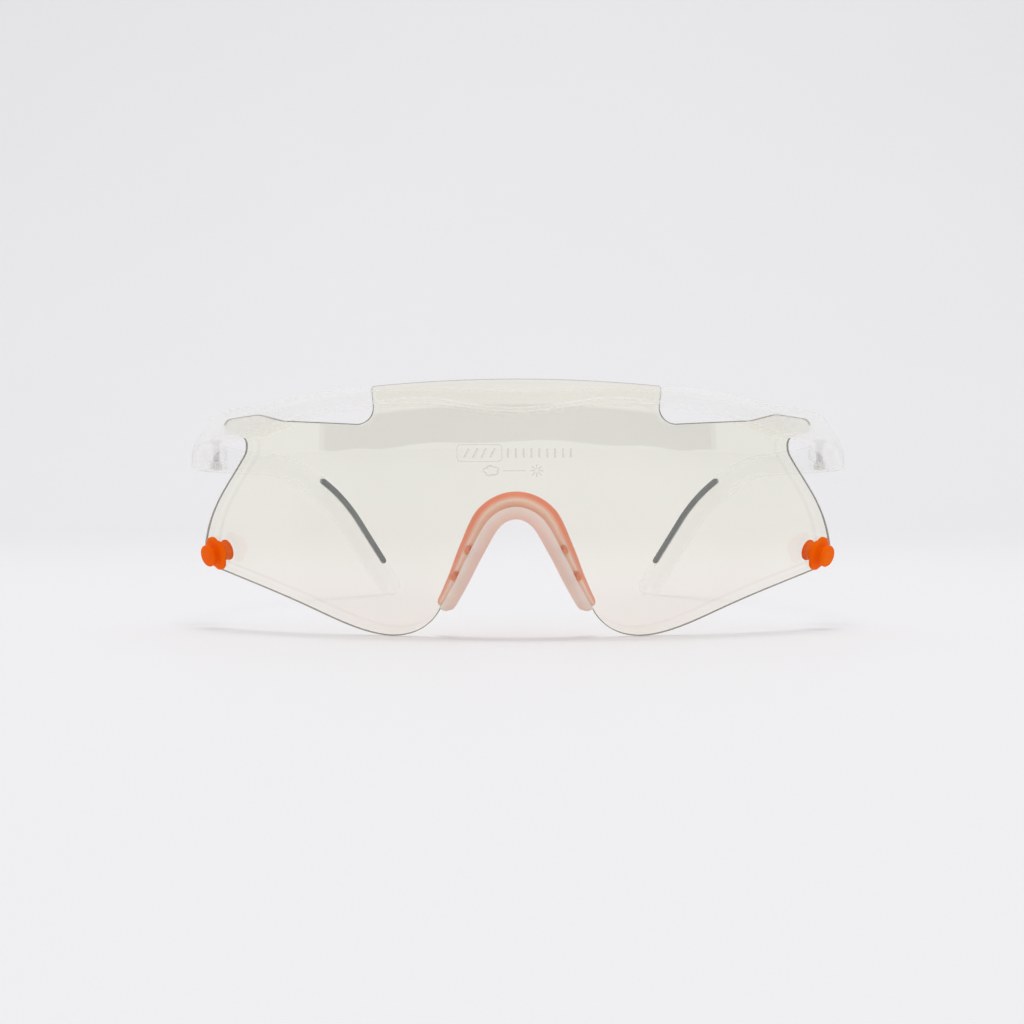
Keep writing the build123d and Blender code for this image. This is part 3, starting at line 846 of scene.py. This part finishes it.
def make_lens_marks():
    """Generic laser marks: a capsule with bars, and a cloud, a dash and a sun under it."""
    # Each strip is a path, its width and whether it is closed.
    strips = [(capsule_path(-10.9, -2.6, 33.2, 36.3, corner=0.7), 0.14, True)]
    for k in range(4):
        x = -9.6 + 1.6 * k
        strips.append(([Vector((x, BAR_LOW)), Vector((x + 0.9, BAR_HIGH))], 0.32, False))
    for k in range(9):
        x = -1.5 + 1.45 * k
        strips.append(([Vector((x, BAR_LOW)), Vector((x, BAR_HIGH))], 0.34, False))
    strips.append((cloud_path(-4.6, SYMBOL_HEIGHT, 2.9), 0.3, True))
    dash = [Vector((-2.4, SYMBOL_HEIGHT)), Vector((1.7, SYMBOL_HEIGHT))]
    strips.append((dash, 0.18, False))
    sun = Vector((3.8, SYMBOL_HEIGHT))
    for k in range(8):
        ray = Vector((math.cos(math.pi * k / 4), math.sin(math.pi * k / 4)))
        strips.append(([sun + ray * 0.35, sun + ray * 1.2], 0.22, False))
    verts, faces = [], []
    for path, width, closed in strips:
        some_verts, some_faces = ribbon(path, width, closed)
        faces += [tuple(len(verts) + k for k in face) for face in some_faces]
        verts += some_verts
    new_object("lens_marks", verts, faces, LENS_PRINT, "front")


make_lens_marks()


# ------------------------------------------------------------------ CAD nodes kept
METAL_BEVEL = 0.05
MOULD_VOXEL = 0.2
MOULD_PASSES = 60


def dress(node, material):
    """Material and eased edges for a metal CAD node."""
    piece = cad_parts[node]
    piece.data.materials.clear()
    piece.data.materials.append(material)
    piece.data.polygons.foreach_set("use_smooth", [True] * len(piece.data.polygons))
    add_modifier(piece, "BEVEL", width=METAL_BEVEL * MM, segments=3, limit_method="ANGLE",
                 angle_limit=math.radians(40), harden_normals=True)


def mould(node, material):
    """Material and the soft, rounded skin of a moulding for a CAD node."""
    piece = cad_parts[node]
    piece.data.materials.clear()
    piece.data.materials.append(material)
    add_modifier(piece, "REMESH", mode="VOXEL", voxel_size=MOULD_VOXEL * MM,
                 use_smooth_shade=True)
    add_modifier(piece, "SMOOTH", factor=0.5, iterations=MOULD_PASSES)


mould("brow_frame", FRAME_CLEAR)
for side in SIDES:
    mould(f"temple_{side}", TEMPLE_CLEAR)
    dress(f"hinge_screw_{side}", SCREW_STEEL)
    dress(f"hinge_insert_{side}", INSERT_STEEL)


# ------------------------------------------------------------------ studio, in metres
def make_studio():
    """A white sweep: a floor that curves up into a wall far behind the glasses."""
    half_width, near, far, height, bend, bend_steps = 3.0, -3.0, 2.4, 2.6, 1.4, 16
    profile = [(near, 0.0), (far - bend, 0.0)]
    for k in range(1, bend_steps + 1):
        angle = math.pi / 2 * k / bend_steps
        profile.append((far - bend + bend * math.sin(angle), bend - bend * math.cos(angle)))
    profile.append((far, height))
    verts = [(x, y, z) for y, z in profile for x in (-half_width, half_width)]
    faces = [(2 * k, 2 * k + 1, 2 * k + 3, 2 * k + 2) for k in range(len(profile) - 1)]
    mesh = bpy.data.meshes.new("studio_sweep")
    mesh.from_pydata(verts, [], faces)
    mesh.polygons.foreach_set("use_smooth", [True] * len(faces))
    sweep = bpy.data.objects.new("studio_sweep", mesh)
    mesh.materials.append(PAPER)
    bpy.context.collection.objects.link(sweep)


def make_flag():
    """A dark card in front of the glasses, which the upper part of the lens mirrors.

    Its wavy lower edge is the lower edge of the beige band.
    """
    half_width, low, high, y, steps = 1.8, 0.045, 0.27, -1.15, 40
    verts = []
    for k in range(steps + 1):
        x = half_width * (2 * k / steps - 1)
        wave = 0.02 * math.cos(2.2 * x) + 0.008 * math.sin(9.0 * x)
        verts += [(x, y, low + wave), (x, y, high)]
    faces = [(2 * k, 2 * k + 2, 2 * k + 3, 2 * k + 1) for k in range(steps)]
    mesh = bpy.data.meshes.new("front_flag")
    mesh.from_pydata(verts, [], faces)
    mesh.materials.append(DARK_CARD)
    flag = bpy.data.objects.new("front_flag", mesh)
    bpy.context.collection.objects.link(flag)
    flag.visible_camera = False
    flag.visible_diffuse = False
    flag.visible_shadow = False


def area_light(name, place, target, size, power):
    """A white rectangular light that faces a target."""
    data = bpy.data.lights.new(name, "AREA")
    data.shape = "RECTANGLE"
    data.size, data.size_y = size
    data.energy = power
    light = bpy.data.objects.new(name, data)
    light.location = place
    light.rotation_euler = (Vector(target) - Vector(place)).to_track_quat("-Z", "Y").to_euler()
    bpy.context.collection.objects.link(light)


def make_lights():
    """A bright, faintly cool surround, a small light overhead and one on the backdrop."""
    world = bpy.data.worlds.new("studio_world")
    world.use_nodes = True
    background = world.node_tree.nodes["Background"]
    background.inputs["Color"].default_value = (0.97, 0.98, 1.0, 1)
    background.inputs["Strength"].default_value = 0.83
    bpy.context.scene.world = world
    area_light("overhead_softbox", (0, -0.1, 1.1), (0, -0.05, 0), size=(0.3, 0.2), power=2.6)
    area_light("backdrop_glow", (0, 0.9, 1.4), (0, 1.9, 0.3), size=(3.0, 0.8), power=5.0)


def make_camera():
    """Level with the middle of the lens and almost square to it, as in the product shot.

    It turns about the lens's apex, and stands a little aside of that to frame the shot.
    """
    data = bpy.data.cameras.new("camera")
    data.sensor_width = 36.0
    data.lens = 50.7
    data.clip_start = 0.01
    camera = bpy.data.objects.new("camera", data)
    distance, height, aside, turn = 265.0, 23.9, -0.74, math.radians(0.54)
    x = aside + distance * math.sin(turn)
    camera.location = at(x, -distance * math.cos(turn), height) * MM
    camera.rotation_euler = (math.radians(90), 0, turn)
    bpy.context.collection.objects.link(camera)
    bpy.context.scene.camera = camera


make_studio()
make_flag()
make_lights()
make_camera()
bpy.context.scene.view_settings.view_transform = "Standard"
